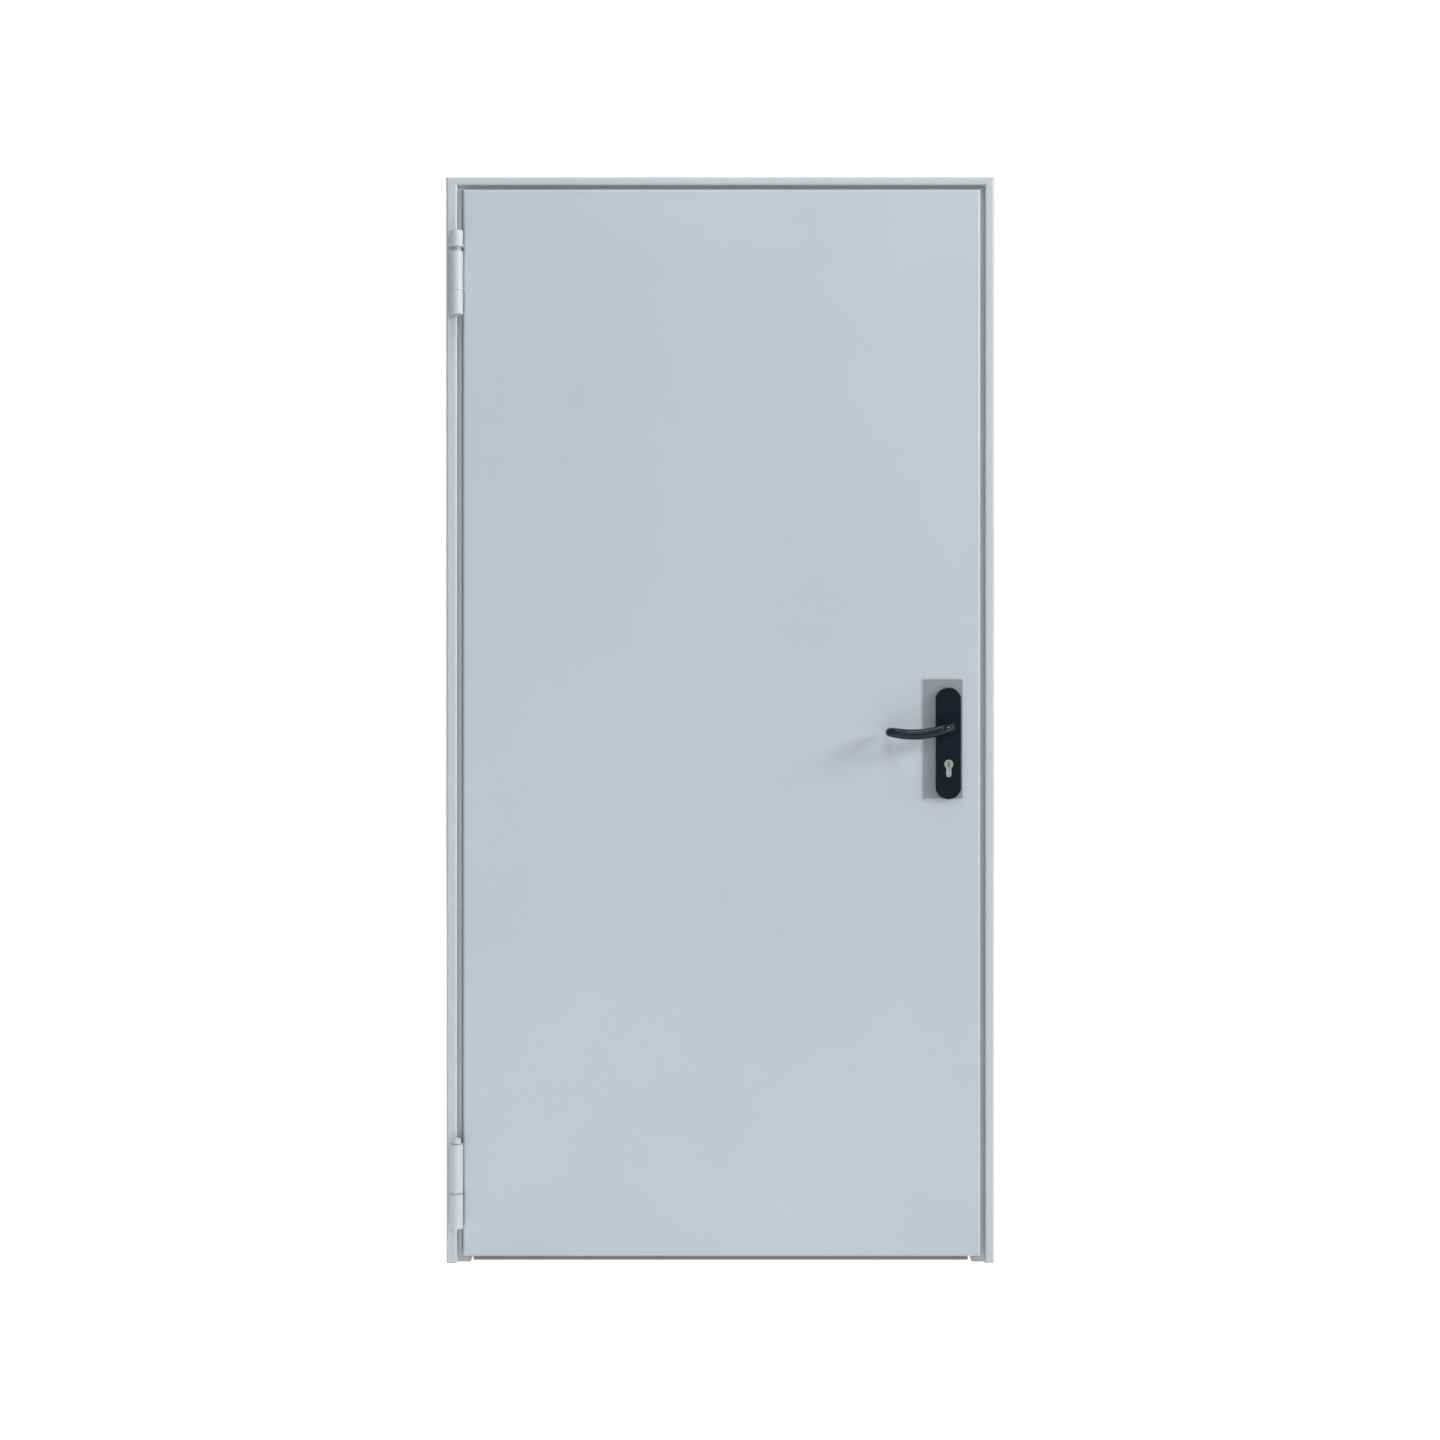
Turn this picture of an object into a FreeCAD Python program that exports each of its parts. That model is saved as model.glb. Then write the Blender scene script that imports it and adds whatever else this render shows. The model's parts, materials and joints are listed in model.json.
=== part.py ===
import FreeCAD, Part
import os
from math import cos, degrees, pi, radians, sin, tan

# Steel utility door: a lipped sheet-steel leaf on two barrel hinges in a folded steel frame.
# X runs from the hinge side to the lock side, Y from the front to the back, Z up from the floor.
# The origin is on the wall face of the hinge jamb, at the floor, halfway through the frame.

# Frame
frame_width = 1035.0
frame_height = 2050.0
frame_depth = 80.0
frame_sheet = 2.0
frame_bend = 2.5
hinge_face = 21.0
lock_face = 18.0
head_face = 15.0
seat_width = 24.0
rebate_depth = 14.0
wall_leg = 46.0

# Gaps between the frame and the leaf
hinge_gap = 10.5
lock_gap = 8.0
head_gap = 8.0
hinge_body_gap = 6.0
lock_body_gap = 7.5
head_body_gap = 6.0
leaf_floor_gap = 13.0
rail_floor_gap = 5.0

# Leaf
leaf_thickness = 54.0
leaf_sheet = 1.0
lip_thickness = 8.0
lip_edge_radius = 5.5
bottom_hem = 20.0
channel_sheet = 1.5
channel_bend = 1.0
channel_flange = 25.0

# Rubber seal on the seat
seal_width = 11.0
seal_inset = 5.0
seal_round = 2.5
seal_clearance = 0.4
seal_floor_gap = 25.0

# Wall brackets in the open side of the jambs
bracket_count = 4
bracket_end = 200.0
bracket_width = 26.0
bracket_height = 34.0
bracket_sheet = 3.0
bracket_bend = 1.5
fixing_radius = 5.5

# Hinges: a barrel in front of the hinge gap
barrel_radius = 12.5
barrel_standoff = 1.5
barrel_to_leaf_edge = 10.5
barrel_edge = 0.5
pin_radius = 6.0
pin_clearance = 0.05
wing_thickness = 4.0
knuckle_play = 0.4
hinge_collar_height = 4.5
hinge_collar_proud = 1.0
upper_hinge_from_top = 104.0
upper_knuckle_lengths = (44.0, 74.0, 31.0)
upper_ring_height = 8.0
upper_ring_inset = 3.0
lower_hinge_bottom = 69.0
lower_knuckle_lengths = (64.0, 91.0)
lower_ring_height = 3.0
lower_ring_inset = 0.2
cap_radius = 8.5
cap_height = 12.0
cap_edge = 3.0
cap_groove = 1.5

# Lock
backset = 38.0
spindle_height = 1012.0
cylinder_drop = 70.0
lock_case_depth = 72.0
lock_case_thickness = 16.0
lock_case_above = 62.0
lock_case_below = 42.0
forend_width = 24.0
forend_thickness = 3.0
forend_overhang = 22.0
let_in_clearance = 0.3
latch_rise = 18.0
latch_size = (12.0, 30.0)
latch_bevel = 9.0
dead_bolt_rise = 24.0
dead_bolt_size = (10.0, 24.0)
bolt_clearance = 0.25
bolt_to_spindle = 2.0

# Profile cylinder
cylinder_radius = 8.5
cylinder_stem = 10.0
cylinder_length_up = 33.0
cylinder_proud = 2.5
cylinder_clearance = 0.3
plug_radius = 6.5
plug_groove = 0.5
keyway_width = 2.4
keyway_height = 9.0
keyway_depth = 14.0

# Strike in the lock jamb
strike_width = 20.0
strike_overhang = 20.0
strike_box_depth = 20.0
strike_box_sheet = 1.5
strike_box_flange = 2.0
strike_hole_room = 3.0

# Handle
backing_width = 74.0
backing_height = 225.0
backing_thickness = 2.0
backing_offset_x = -10.0
backing_drop = 22.5
plate_width = 47.0
plate_height = 210.0
plate_end_rise = 18.0
plate_thickness = 9.0
plate_edge_radius = 2.5
plate_drop = 31.0
boss_radius = 15.0
boss_rise = 2.0
boss_edge = 0.8
bar_radius = 9.0
grip_fall = 8.0
grip_rise = 18.0
grip_straight = 55.0
neck_radius = 11.5
neck_depth = 6.0
neck_collar = 8.0
collar_edge = 1.2
neck_clearance = 0.08
grip_standoff = 39.0
lever_length = 117.0
lever_bend = 18.0
return_gap = 8.0
tip_edge = 2.0
spindle_size = 9.0
spindle_reach = 22.0
spindle_hole_radius = 7.0

# Places worked out from the sizes above
front_y = -frame_depth / 2
back_y = frame_depth / 2
seat_y = front_y + rebate_depth
leaf_back_y = front_y + leaf_thickness
hinge_reveal_x = hinge_face + seat_width
lock_reveal_x = frame_width - lock_face - seat_width
head_reveal_z = frame_height - head_face - seat_width
leaf_left = hinge_face + hinge_gap
leaf_right = frame_width - lock_face - lock_gap
leaf_top = frame_height - head_face - head_gap
body_left = hinge_reveal_x + hinge_body_gap
body_right = lock_reveal_x - lock_body_gap
body_top = head_reveal_z - head_body_gap
body_bottom = leaf_floor_gap + bottom_hem
channel_front_y = front_y + leaf_sheet
channel_back_y = leaf_back_y - leaf_sheet
hinge_x = leaf_left - barrel_to_leaf_edge
hinge_y = front_y - barrel_standoff - barrel_radius
spindle_x = body_right - backset
cylinder_height = spindle_height - cylinder_drop
bolt_reach = backset - spindle_hole_radius - bolt_to_spindle
lock_y = (front_y + lip_thickness + leaf_back_y) / 2
lock_case_top = spindle_height + lock_case_above
lock_case_bottom = cylinder_height - lock_case_below
bracket_y = (front_y + wall_leg + back_y - frame_sheet) / 2
bracket_pitch = (frame_height - 2 * bracket_end) / (bracket_count - 1)
bracket_heights = [bracket_end + i * bracket_pitch for i in range(bracket_count)]
plate_seat_front = front_y - backing_thickness
plate_front = plate_seat_front - plate_thickness
plate_back = leaf_back_y + plate_thickness

same_place = 1e-4

X = FreeCAD.Vector(1, 0, 0)
Y = FreeCAD.Vector(0, 1, 0)
Z = FreeCAD.Vector(0, 0, 1)


def point(x, y, z):
    return FreeCAD.Vector(x, y, z)


def block(x, y, z):
    """Box between two values along each axis."""
    size = (x[1] - x[0], y[1] - y[0], z[1] - z[0])
    return Part.makeBox(*size, point(x[0], y[0], z[0]))


def rounded_face(corners, place):
    """Face with straight sides joined by tangent arcs; a corner is (u, v, radius)."""
    ends = []
    for i, (u, v, radius) in enumerate(corners):
        here = point(u, v, 0)
        before = point(*corners[i - 1][:2], 0) - here
        after = point(*corners[(i + 1) % len(corners)][:2], 0) - here
        before.normalize()
        after.normalize()
        if radius == 0:
            ends.append((here, None, here))
            continue
        half = before.getAngle(after) / 2
        middle = before + after
        middle.normalize()
        reach = radius / tan(half)
        bulge = radius / sin(half) - radius
        ends.append((here + before * reach, here + middle * bulge, here + after * reach))
    edges = []
    for i, (start, middle, end) in enumerate(ends):
        if middle is not None:
            edges.append(Part.Arc(*[place(p.x, p.y) for p in (start, middle, end)]).toShape())
        following = ends[(i + 1) % len(ends)][0]
        if (following - end).Length > same_place:
            run = (place(end.x, end.y), place(following.x, following.y))
            edges.append(Part.LineSegment(*run).toShape())
    return Part.Face(Part.Wire(edges))


def folded_face(path, sheet, bend, place):
    """Section of a sheet folded along a square-cornered path, its thickness on the left."""
    runs = [point(b[0] - a[0], b[1] - a[1], 0) for a, b in zip(path, path[1:])]
    lefts = []
    for run in runs:
        run.normalize()
        lefts.append(point(-run.y, run.x, 0) * sheet)
    outside = []
    inside = []
    for i, (u, v) in enumerate(path):
        if i in (0, len(path) - 1):
            shift = lefts[min(i, len(runs) - 1)]
            near, far = 0, 0
        else:
            shift = lefts[i - 1] + lefts[i]
            left_turn = runs[i - 1].cross(runs[i]).z > 0
            near, far = (bend + sheet, bend) if left_turn else (bend, bend + sheet)
        outside.append((u, v, near))
        inside.append((u + shift.x, v + shift.y, far))
    return rounded_face(outside + inside[::-1], place)


def prism_y(outline, y_low, y_high):
    """Straight-sided outline in X and Z, carried along Y."""
    face = rounded_face([(x, z, 0) for x, z in outline], lambda x, z: point(x, y_low, z))
    return face.extrude(Y * (y_high - y_low))


def edges_on(shape, axis, value):
    """Edges that lie whole in the plane where an axis has a value."""
    found = []
    for edge in shape.Edges:
        ends = (getattr(edge.BoundBox, axis + side) for side in ("Min", "Max"))
        if all(abs(end - value) < same_place for end in ends):
            found.append(edge)
    return found


def frame_path(face):
    """Outer surface of a frame member, from the wall inwards (u) and front to back (v)."""
    inner = face + seat_width
    return [(0, wall_leg), (0, 0), (face, 0), (face, rebate_depth), (inner, rebate_depth),
            (inner, frame_depth), (0, frame_depth)]


def frame_member(face, place, run):
    return folded_face(frame_path(face), frame_sheet, frame_bend, place).extrude(run)


def head_zone():
    """Room of the frame head: bounded by the mitre lines of the two top corners."""
    outline = [(0, frame_height), (hinge_face, frame_height - head_face), (hinge_reveal_x, head_reveal_z),
               (lock_reveal_x, head_reveal_z), (frame_width - lock_face, frame_height - head_face),
               (frame_width, frame_height)]
    return prism_y(outline, front_y, back_y)


def fixing_holes(x_low, x_high):
    """Bolt holes through a jamb at the wall brackets."""
    rods = [Part.makeCylinder(fixing_radius, x_high - x_low, point(x_low, bracket_y, z), X)
            for z in bracket_heights]
    return Part.makeCompound(rods)


def make_frame():
    hinge_jamb = frame_member(hinge_face, lambda u, v: point(u, front_y + v, 0), Z * frame_height)
    lock_jamb = frame_member(lock_face, lambda u, v: point(frame_width - u, front_y + v, 0),
                             Z * frame_height)
    head = frame_member(head_face, lambda u, v: point(0, front_y + v, frame_height - u), X * frame_width)
    zone = head_zone()
    hinge_jamb = hinge_jamb.cut(zone).cut(fixing_holes(0, hinge_reveal_x))
    lock_jamb = lock_jamb.cut(zone).cut(fixing_holes(lock_reveal_x, frame_width))
    window = strike_outline(let_in_clearance, lock_reveal_x, lock_reveal_x + frame_sheet)
    return {"hinge_jamb": hinge_jamb, "lock_jamb": lock_jamb.cut(window), "frame_head": head.common(zone)}


def seal_strip(place, run):
    """Rubber strip on the seat: flat base, rounded towards the lip of the leaf."""
    proud = rebate_depth - lip_thickness - seal_clearance
    corners = [(0, 0, 0), (0, -proud, seal_round), (seal_width, -proud, seal_round), (seal_width, 0, 0)]
    return rounded_face(corners, place).extrude(run)


def make_seals():
    hinge_x0 = hinge_reveal_x - seal_inset - seal_width
    lock_x0 = lock_reveal_x + seal_inset
    head_z0 = head_reveal_z + seal_inset
    run = Z * (head_z0 - seal_floor_gap)
    hinge = seal_strip(lambda u, v: point(hinge_x0 + u, seat_y + v, seal_floor_gap), run)
    lock = seal_strip(lambda u, v: point(lock_x0 + u, seat_y + v, seal_floor_gap), run)
    length = lock_x0 + seal_width - hinge_x0
    head = seal_strip(lambda u, v: point(hinge_x0, seat_y + v, head_z0 + u), X * length)
    return {"hinge_jamb_seal": hinge, "lock_jamb_seal": lock, "head_seal": head}


def wall_bracket(reveal, middle_z):
    """U of flat steel: its web bears on the wall, its two arms meet the inside of the reveal."""
    z = middle_z - bracket_height / 2
    half = bracket_width / 2
    path = [(reveal, half), (0, half), (0, -half), (reveal, -half)]
    face = folded_face(path, bracket_sheet, bracket_bend, lambda u, v: point(u, bracket_y + v, z))
    body = face.extrude(Z * bracket_height)
    hole = Part.makeCylinder(fixing_radius, reveal, point(0, bracket_y, middle_z), X)
    return body.cut(hole)


def make_brackets():
    hinge = [wall_bracket(hinge_reveal_x - frame_sheet, z) for z in bracket_heights]
    lock = [wall_bracket(frame_width - lock_reveal_x - frame_sheet, z) for z in bracket_heights]
    middle = point(frame_width / 2, 0, 0)
    mirrored = [bracket.mirror(middle, X) for bracket in lock]
    return {"hinge_jamb_brackets": Part.makeCompound(hinge),
            "lock_jamb_brackets": Part.makeCompound(mirrored)}


def bolt_places():
    """Height of the latch and of the dead bolt in the lock edge, each with its thickness and height."""
    return ((spindle_height + latch_rise, latch_size), (cylinder_height + dead_bolt_rise, dead_bolt_size))


def strike_outline(spare, x_low, x_high):
    """Plate-shaped block of the strike, larger all round by the spare."""
    half = strike_width / 2 + spare
    low = lock_case_bottom - strike_overhang - spare
    high = lock_case_top + strike_overhang + spare
    return block((x_low, x_high), (lock_y - half, lock_y + half), (low, high))


def make_strike():
    plate = strike_outline(0, lock_reveal_x, lock_reveal_x + frame_sheet)
    behind = lock_reveal_x + frame_sheet
    flange = strike_outline(strike_box_flange, behind, behind + strike_box_sheet)
    for z, (thick, tall) in bolt_places():
        y = (lock_y - thick / 2 - strike_hole_room, lock_y + thick / 2 + strike_hole_room)
        height = (z - tall / 2 - strike_hole_room, z + tall / 2 + strike_hole_room)
        plate = plate.cut(block((lock_reveal_x, behind), y, height))
        wall = strike_box_sheet
        outer = block((behind, behind + strike_box_depth), (y[0] - wall, y[1] + wall),
                      (height[0] - wall, height[1] + wall))
        inner = block((behind, behind + strike_box_depth - wall), y, height)
        flange = flange.fuse(outer).cut(inner)
    return {"strike_plate": plate, "strike_box": flange.removeSplitter()}


def lip_block(inset):
    """Front of the leaf out to its lip, drawn in by the inset, with rounded front edges."""
    y_low = front_y + inset
    shape = block((leaf_left + inset, leaf_right - inset), (y_low, front_y + lip_thickness - inset),
                  (leaf_floor_gap + inset, leaf_top - inset))
    return shape.makeFillet(lip_edge_radius - inset, edges_on(shape, "Y", y_low))


def handle_holes(y_low, y_high):
    """Room for the spindle and the cylinder through a sheet of the leaf."""
    start = point(spindle_x, y_low, spindle_height)
    spindle = Part.makeCylinder(spindle_hole_radius, y_high - y_low, start, Y)
    return spindle.fuse(cylinder_body(cylinder_clearance, y_low, y_high))


def make_leaf_sheets():
    opening = block((body_left, body_right), (front_y + leaf_sheet, front_y + lip_thickness),
                    (body_bottom, body_top))
    front = lip_block(0).cut(lip_block(leaf_sheet)).cut(opening)
    front = front.cut(handle_holes(front_y, front_y + leaf_sheet))
    back = block((body_left, body_right), (channel_back_y, leaf_back_y), (leaf_floor_gap, body_top))
    back = back.cut(handle_holes(channel_back_y, leaf_back_y))
    return {"front_sheet": front, "back_sheet": back}


def channel(path, place, run):
    return folded_face(path, channel_sheet, channel_bend, place).extrude(run)


def make_leaf_frame():
    """Folded channels that close the edges of the leaf between its two sheets."""
    stile_path = [(channel_flange, channel_back_y), (0, channel_back_y), (0, channel_front_y),
                  (channel_flange, channel_front_y)]
    rail_z = body_top - channel_flange
    stile_run = Z * (rail_z - body_bottom)
    rail_run = X * (body_right - body_left)
    hinge_stile = channel(stile_path, lambda u, y: point(body_left + u, y, body_bottom), stile_run)
    lock_stile = channel(stile_path, lambda u, y: point(body_right - u, y, body_bottom), stile_run)
    lock_stile = lock_stile.cut(forend(let_in_clearance, channel_sheet))
    top_rail = channel(stile_path, lambda u, y: point(body_left, y, body_top - u), rail_run)
    hem_y = front_y + lip_thickness
    bottom_path = [(channel_back_y, rail_floor_gap), (channel_back_y, body_bottom), (hem_y, body_bottom),
                   (hem_y, rail_floor_gap)]
    bottom_rail = channel(bottom_path, lambda y, z: point(body_left, y, z), rail_run)
    return {"hinge_stile": hinge_stile, "lock_stile": lock_stile, "top_rail": top_rail,
            "bottom_rail": bottom_rail}


def make_core():
    """Mineral wool between the sheets, with a pocket for the lock case."""
    core = block((body_left + channel_flange, body_right - channel_flange),
                 (channel_front_y, channel_back_y), (body_bottom, body_top - channel_flange))
    half = lock_case_thickness / 2 + let_in_clearance
    pocket = block((body_right - lock_case_depth - let_in_clearance, body_right),
                   (lock_y - half, lock_y + half),
                   (lock_case_bottom - let_in_clearance, lock_case_top + let_in_clearance))
    return {"insulation_core": core.cut(pocket).cut(handle_holes(channel_front_y, channel_back_y))}


def cylinder_body(spare, y_low, y_high):
    """Profile cylinder: a round barrel on a narrow stem with a round foot."""
    length = y_high - y_low
    stem = cylinder_stem / 2
    foot = cylinder_height + cylinder_radius - cylinder_length_up + stem
    centre = point(spindle_x, y_low, cylinder_height)
    barrel = Part.makeCylinder(cylinder_radius + spare, length, centre, Y)
    web = block((spindle_x - stem - spare, spindle_x + stem + spare), (y_low, y_high),
                (foot, cylinder_height))
    toe = Part.makeCylinder(stem + spare, length, point(spindle_x, y_low, foot), Y)
    return barrel.fuse([web, toe]).removeSplitter()


def make_cylinder():
    y_low = plate_front - cylinder_proud
    y_high = plate_back + cylinder_proud
    body = cylinder_body(0, y_low, y_high)
    for y, inward in ((y_low, 1), (y_high, -1)):
        axis = Y * inward
        centre = point(spindle_x, y, cylinder_height)
        ring = Part.makeCylinder(plug_radius, plug_groove, centre, axis)
        plug = Part.makeCylinder(plug_radius - plug_groove, plug_groove, centre, axis)
        slot_y = sorted((y, y + inward * keyway_depth))
        slot = block((spindle_x - keyway_width / 2, spindle_x + keyway_width / 2), slot_y,
                     (cylinder_height - keyway_height / 2, cylinder_height + keyway_height / 2))
        body = body.cut(ring.cut(plug)).cut(slot)
    return {"profile_cylinder": body}


def forend(spare, depth):
    """Plate of the lock that shows in the edge of the leaf."""
    half = forend_width / 2 + spare
    low = lock_case_bottom - forend_overhang - spare
    high = lock_case_top + forend_overhang + spare
    return block((body_right - depth, body_right), (lock_y - half, lock_y + half), (low, high))


def bolt_block(size, z, spare):
    """Bolt of the lock, flush with the forend and larger by the spare on every inner side."""
    thick, tall = size
    half_thick = thick / 2 + spare
    half_tall = tall / 2 + spare
    return block((body_right - bolt_reach - spare, body_right), (lock_y - half_thick, lock_y + half_thick),
                 (z - half_tall, z + half_tall))


def make_lock():
    half = lock_case_thickness / 2
    case = block((body_right - lock_case_depth, body_right - forend_thickness),
                 (lock_y - half, lock_y + half), (lock_case_bottom, lock_case_top))
    lock = case.fuse(forend(0, forend_thickness)).removeSplitter()
    lock = lock.cut(handle_holes(lock_y - half, lock_y + half))
    bolts = {}
    for name, (z, size) in zip(("latch_bolt", "dead_bolt"), bolt_places()):
        lock = lock.cut(bolt_block(size, z, bolt_clearance))
        bolts[name] = bolt_block(size, z, 0)
    latch = bolts["latch_bolt"]
    front_nose = min(edges_on(latch, "X", body_right), key=lambda edge: edge.BoundBox.YMax)
    bolts["latch_bolt"] = latch.makeChamfer(latch_bevel, [front_nose])
    return {"lock_case": lock, **bolts}


def knuckle(z_low, z_high, wing_x, wing_back):
    """Hinge barrel with a flat wing that goes back into the hinge gap."""
    length = z_high - z_low
    barrel = Part.makeCylinder(barrel_radius, length, point(hinge_x, hinge_y, z_low), Z)
    barrel = barrel.makeChamfer(barrel_edge, edges_on(barrel, "Z", z_low) + edges_on(barrel, "Z", z_high))
    wing = block(wing_x, (hinge_y, wing_back), (z_low + barrel_edge, z_high - barrel_edge))
    bore = Part.makeCylinder(pin_radius + pin_clearance, length, point(hinge_x, hinge_y, z_low), Z)
    return barrel.fuse(wing).removeSplitter().cut(bore)


def frame_knuckle(z_low, z_high):
    return knuckle(z_low, z_high, (hinge_face, hinge_face + wing_thickness), seat_y - frame_bend)


def leaf_knuckle(z_low, z_high):
    return knuckle(z_low, z_high, (leaf_left - wing_thickness, leaf_left), front_y + lip_thickness)


def hinge_ring(z_low, height, radius):
    """Ring round the hinge pin."""
    start = point(hinge_x, hinge_y, z_low)
    outer = Part.makeCylinder(radius, height, start, Z)
    return outer.cut(Part.makeCylinder(pin_radius + pin_clearance, height, start, Z))


def hinge_pin(z_low, z_high):
    return Part.makeCylinder(pin_radius, z_high - z_low, point(hinge_x, hinge_y, z_low), Z)


def make_upper_hinge():
    """Three knuckles: the leaf's long one between two of the frame, under a bearing ring and a collar."""
    low, middle, high = upper_knuckle_lengths
    top_high = frame_height - upper_hinge_from_top
    top_low = top_high - high
    ring_low = top_low - upper_ring_height
    leaf_high = ring_low - knuckle_play
    leaf_low = leaf_high - middle
    bottom_high = leaf_low - knuckle_play
    bottom_low = bottom_high - low
    collar = hinge_ring(top_low, hinge_collar_height, barrel_radius + hinge_collar_proud)
    top = frame_knuckle(top_low, top_high).fuse(collar).removeSplitter()
    frame = [frame_knuckle(bottom_low, bottom_high), top]
    return {"upper_hinge_frame_knuckles": Part.makeCompound(frame),
            "upper_hinge_leaf_knuckle": leaf_knuckle(leaf_low, leaf_high),
            "upper_hinge_ring": hinge_ring(ring_low, upper_ring_height, barrel_radius - upper_ring_inset),
            "upper_hinge_pin": hinge_pin(bottom_low, top_high)}


def make_lower_hinge():
    """Two knuckles: the leaf's stands on the frame's over a bearing ring, under a bevelled cap."""
    low, high = lower_knuckle_lengths
    ring_low = lower_hinge_bottom + low
    leaf_low = ring_low + lower_ring_height + knuckle_play
    leaf_high = leaf_low + high
    cap = Part.makeCylinder(cap_radius, cap_height, point(hinge_x, hinge_y, leaf_high), Z)
    cap = cap.makeChamfer(cap_edge, edges_on(cap, "Z", leaf_high + cap_height))
    cap = cap.makeChamfer(cap_groove, edges_on(cap, "Z", leaf_high))
    return {"lower_hinge_frame_knuckle": frame_knuckle(lower_hinge_bottom, ring_low),
            "lower_hinge_leaf_knuckle": leaf_knuckle(leaf_low, leaf_high),
            "lower_hinge_ring": hinge_ring(ring_low, lower_ring_height, barrel_radius - lower_ring_inset),
            "lower_hinge_pin": hinge_pin(lower_hinge_bottom, leaf_high - knuckle_play),
            "lower_hinge_cap": cap}


def handle_plate(y_seat, outward):
    """Long plate with bowed ends, rounded at its outer edges, bored for the lever and the cylinder."""
    half = plate_width / 2
    end = plate_height / 2
    side = end - plate_end_rise
    y_face = y_seat + outward * plate_thickness

    def at(x, z):
        return point(spindle_x + x, y_seat, spindle_height - plate_drop + z)

    outline = Part.Wire([Part.LineSegment(at(half, -side), at(half, side)).toShape(),
                         Part.Arc(at(half, side), at(0, end), at(-half, side)).toShape(),
                         Part.LineSegment(at(-half, side), at(-half, -side)).toShape(),
                         Part.Arc(at(-half, -side), at(0, -end), at(half, -side)).toShape()])
    plate = Part.Face(outline).extrude(Y * (outward * plate_thickness))
    plate = plate.makeFillet(plate_edge_radius, edges_on(plate, "Y", y_face))
    spindle_seat = point(spindle_x, y_seat, spindle_height)
    boss = Part.makeCylinder(boss_radius, plate_thickness + boss_rise, spindle_seat, Y * outward)
    boss = boss.makeChamfer(boss_edge, edges_on(boss, "Y", y_face + outward * boss_rise))
    bore = Part.makeCylinder(neck_radius + neck_clearance, plate_thickness + boss_rise, spindle_seat,
                             Y * outward)
    y_low, y_high = sorted((y_seat, y_face))
    plate = plate.fuse(boss).removeSplitter().cut(bore)
    return plate.cut(cylinder_body(cylinder_clearance, y_low, y_high))


def make_handle_plates():
    backing_x = spindle_x + backing_offset_x
    low = spindle_height - backing_drop - backing_height / 2
    backing = block((backing_x - backing_width / 2, backing_x + backing_width / 2),
                    (plate_seat_front, front_y), (low, low + backing_height))
    return {"handle_backing_plate": backing.cut(handle_holes(plate_seat_front, front_y)),
            "front_handle_plate": handle_plate(plate_seat_front, -1),
            "back_handle_plate": handle_plate(leaf_back_y, 1)}


def spindle_bar(y_low, y_high):
    half = spindle_size / 2
    return block((spindle_x - half, spindle_x + half), (y_low, y_high),
                 (spindle_height - half, spindle_height + half))


def bent_bar(start, heading, steps):
    """Round bar of straight runs and bends; a step is a length, or (aside, radius, turn) for a bend."""
    pieces = []
    for step in steps:
        if isinstance(step, float):
            pieces.append(Part.makeCylinder(bar_radius, step, start, heading))
            start = start + heading * step
            continue
        aside, radius, turn = step
        section = Part.Face(Part.Wire(Part.makeCircle(bar_radius, start, heading)))
        pieces.append(section.revolve(start + aside * radius, heading.cross(aside), degrees(turn)))
        start = start + heading * (radius * sin(turn)) + aside * (radius * (1 - cos(turn)))
        heading = heading * cos(turn) + aside * sin(turn)
    return pieces[0].fuse(pieces[1:])


def lever(y_plate, outward, y_leaf):
    """Round bar bent into a U towards the leaf, its grip falling and then bowed up, on a turned collar."""
    out = Y * outward
    root = point(spindle_x, y_plate, spindle_height)
    fall = radians(grip_fall)
    rise = radians(grip_rise)
    bow_reach = lever_length - bar_radius - lever_bend * (cos(fall) + cos(rise)) - grip_straight * cos(fall)
    bow_radius = bow_reach / (sin(fall) + sin(rise))
    straight = grip_standoff - lever_bend
    return_end = (y_leaf - y_plate) * outward + return_gap
    bar = bent_bar(root, out, [straight,
                               (point(-cos(fall), 0, -sin(fall)), lever_bend, pi / 2),
                               grip_straight,
                               (point(-sin(fall), 0, cos(fall)), bow_radius, fall + rise),
                               (out * -1, lever_bend, pi / 2),
                               straight - return_end])
    bar = bar.makeChamfer(tip_edge, edges_on(bar, "Y", y_plate + outward * return_end))
    collar_start = root - out * neck_depth
    collar = Part.makeCylinder(neck_radius, neck_depth + neck_collar, collar_start, out)
    collar = collar.makeChamfer(collar_edge, edges_on(collar, "Y", y_plate + outward * neck_collar))
    socket = sorted((collar_start.y, y_plate + outward * spindle_reach))
    return collar.fuse(bar).removeSplitter().cut(spindle_bar(*socket))


def make_lever_set():
    return {"front_lever": lever(plate_front, -1, front_y),
            "back_lever": lever(plate_back, 1, leaf_back_y),
            "spindle": spindle_bar(plate_front - spindle_reach, plate_back + spindle_reach)}


parts = {**make_frame(), **make_seals(), **make_brackets(), **make_strike(), **make_leaf_sheets(),
         **make_leaf_frame(), **make_core(), **make_lock(), **make_cylinder(), **make_upper_hinge(),
         **make_lower_hinge(), **make_handle_plates(), **make_lever_set()}

os.makedirs("parts", exist_ok=True)
for name, shape in parts.items():
    print(f"{name}: valid {shape.isValid()}, solids {len(shape.Solids)}")
    shape.exportStep(f"parts/{name}.step")
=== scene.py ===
"""Steel utility door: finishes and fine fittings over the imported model, with floor, light and camera.

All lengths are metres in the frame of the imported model: X from the hinge side to the lock side,
Y from the front to the back, Z up from the floor.
"""
import json
from math import pi, radians

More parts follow.
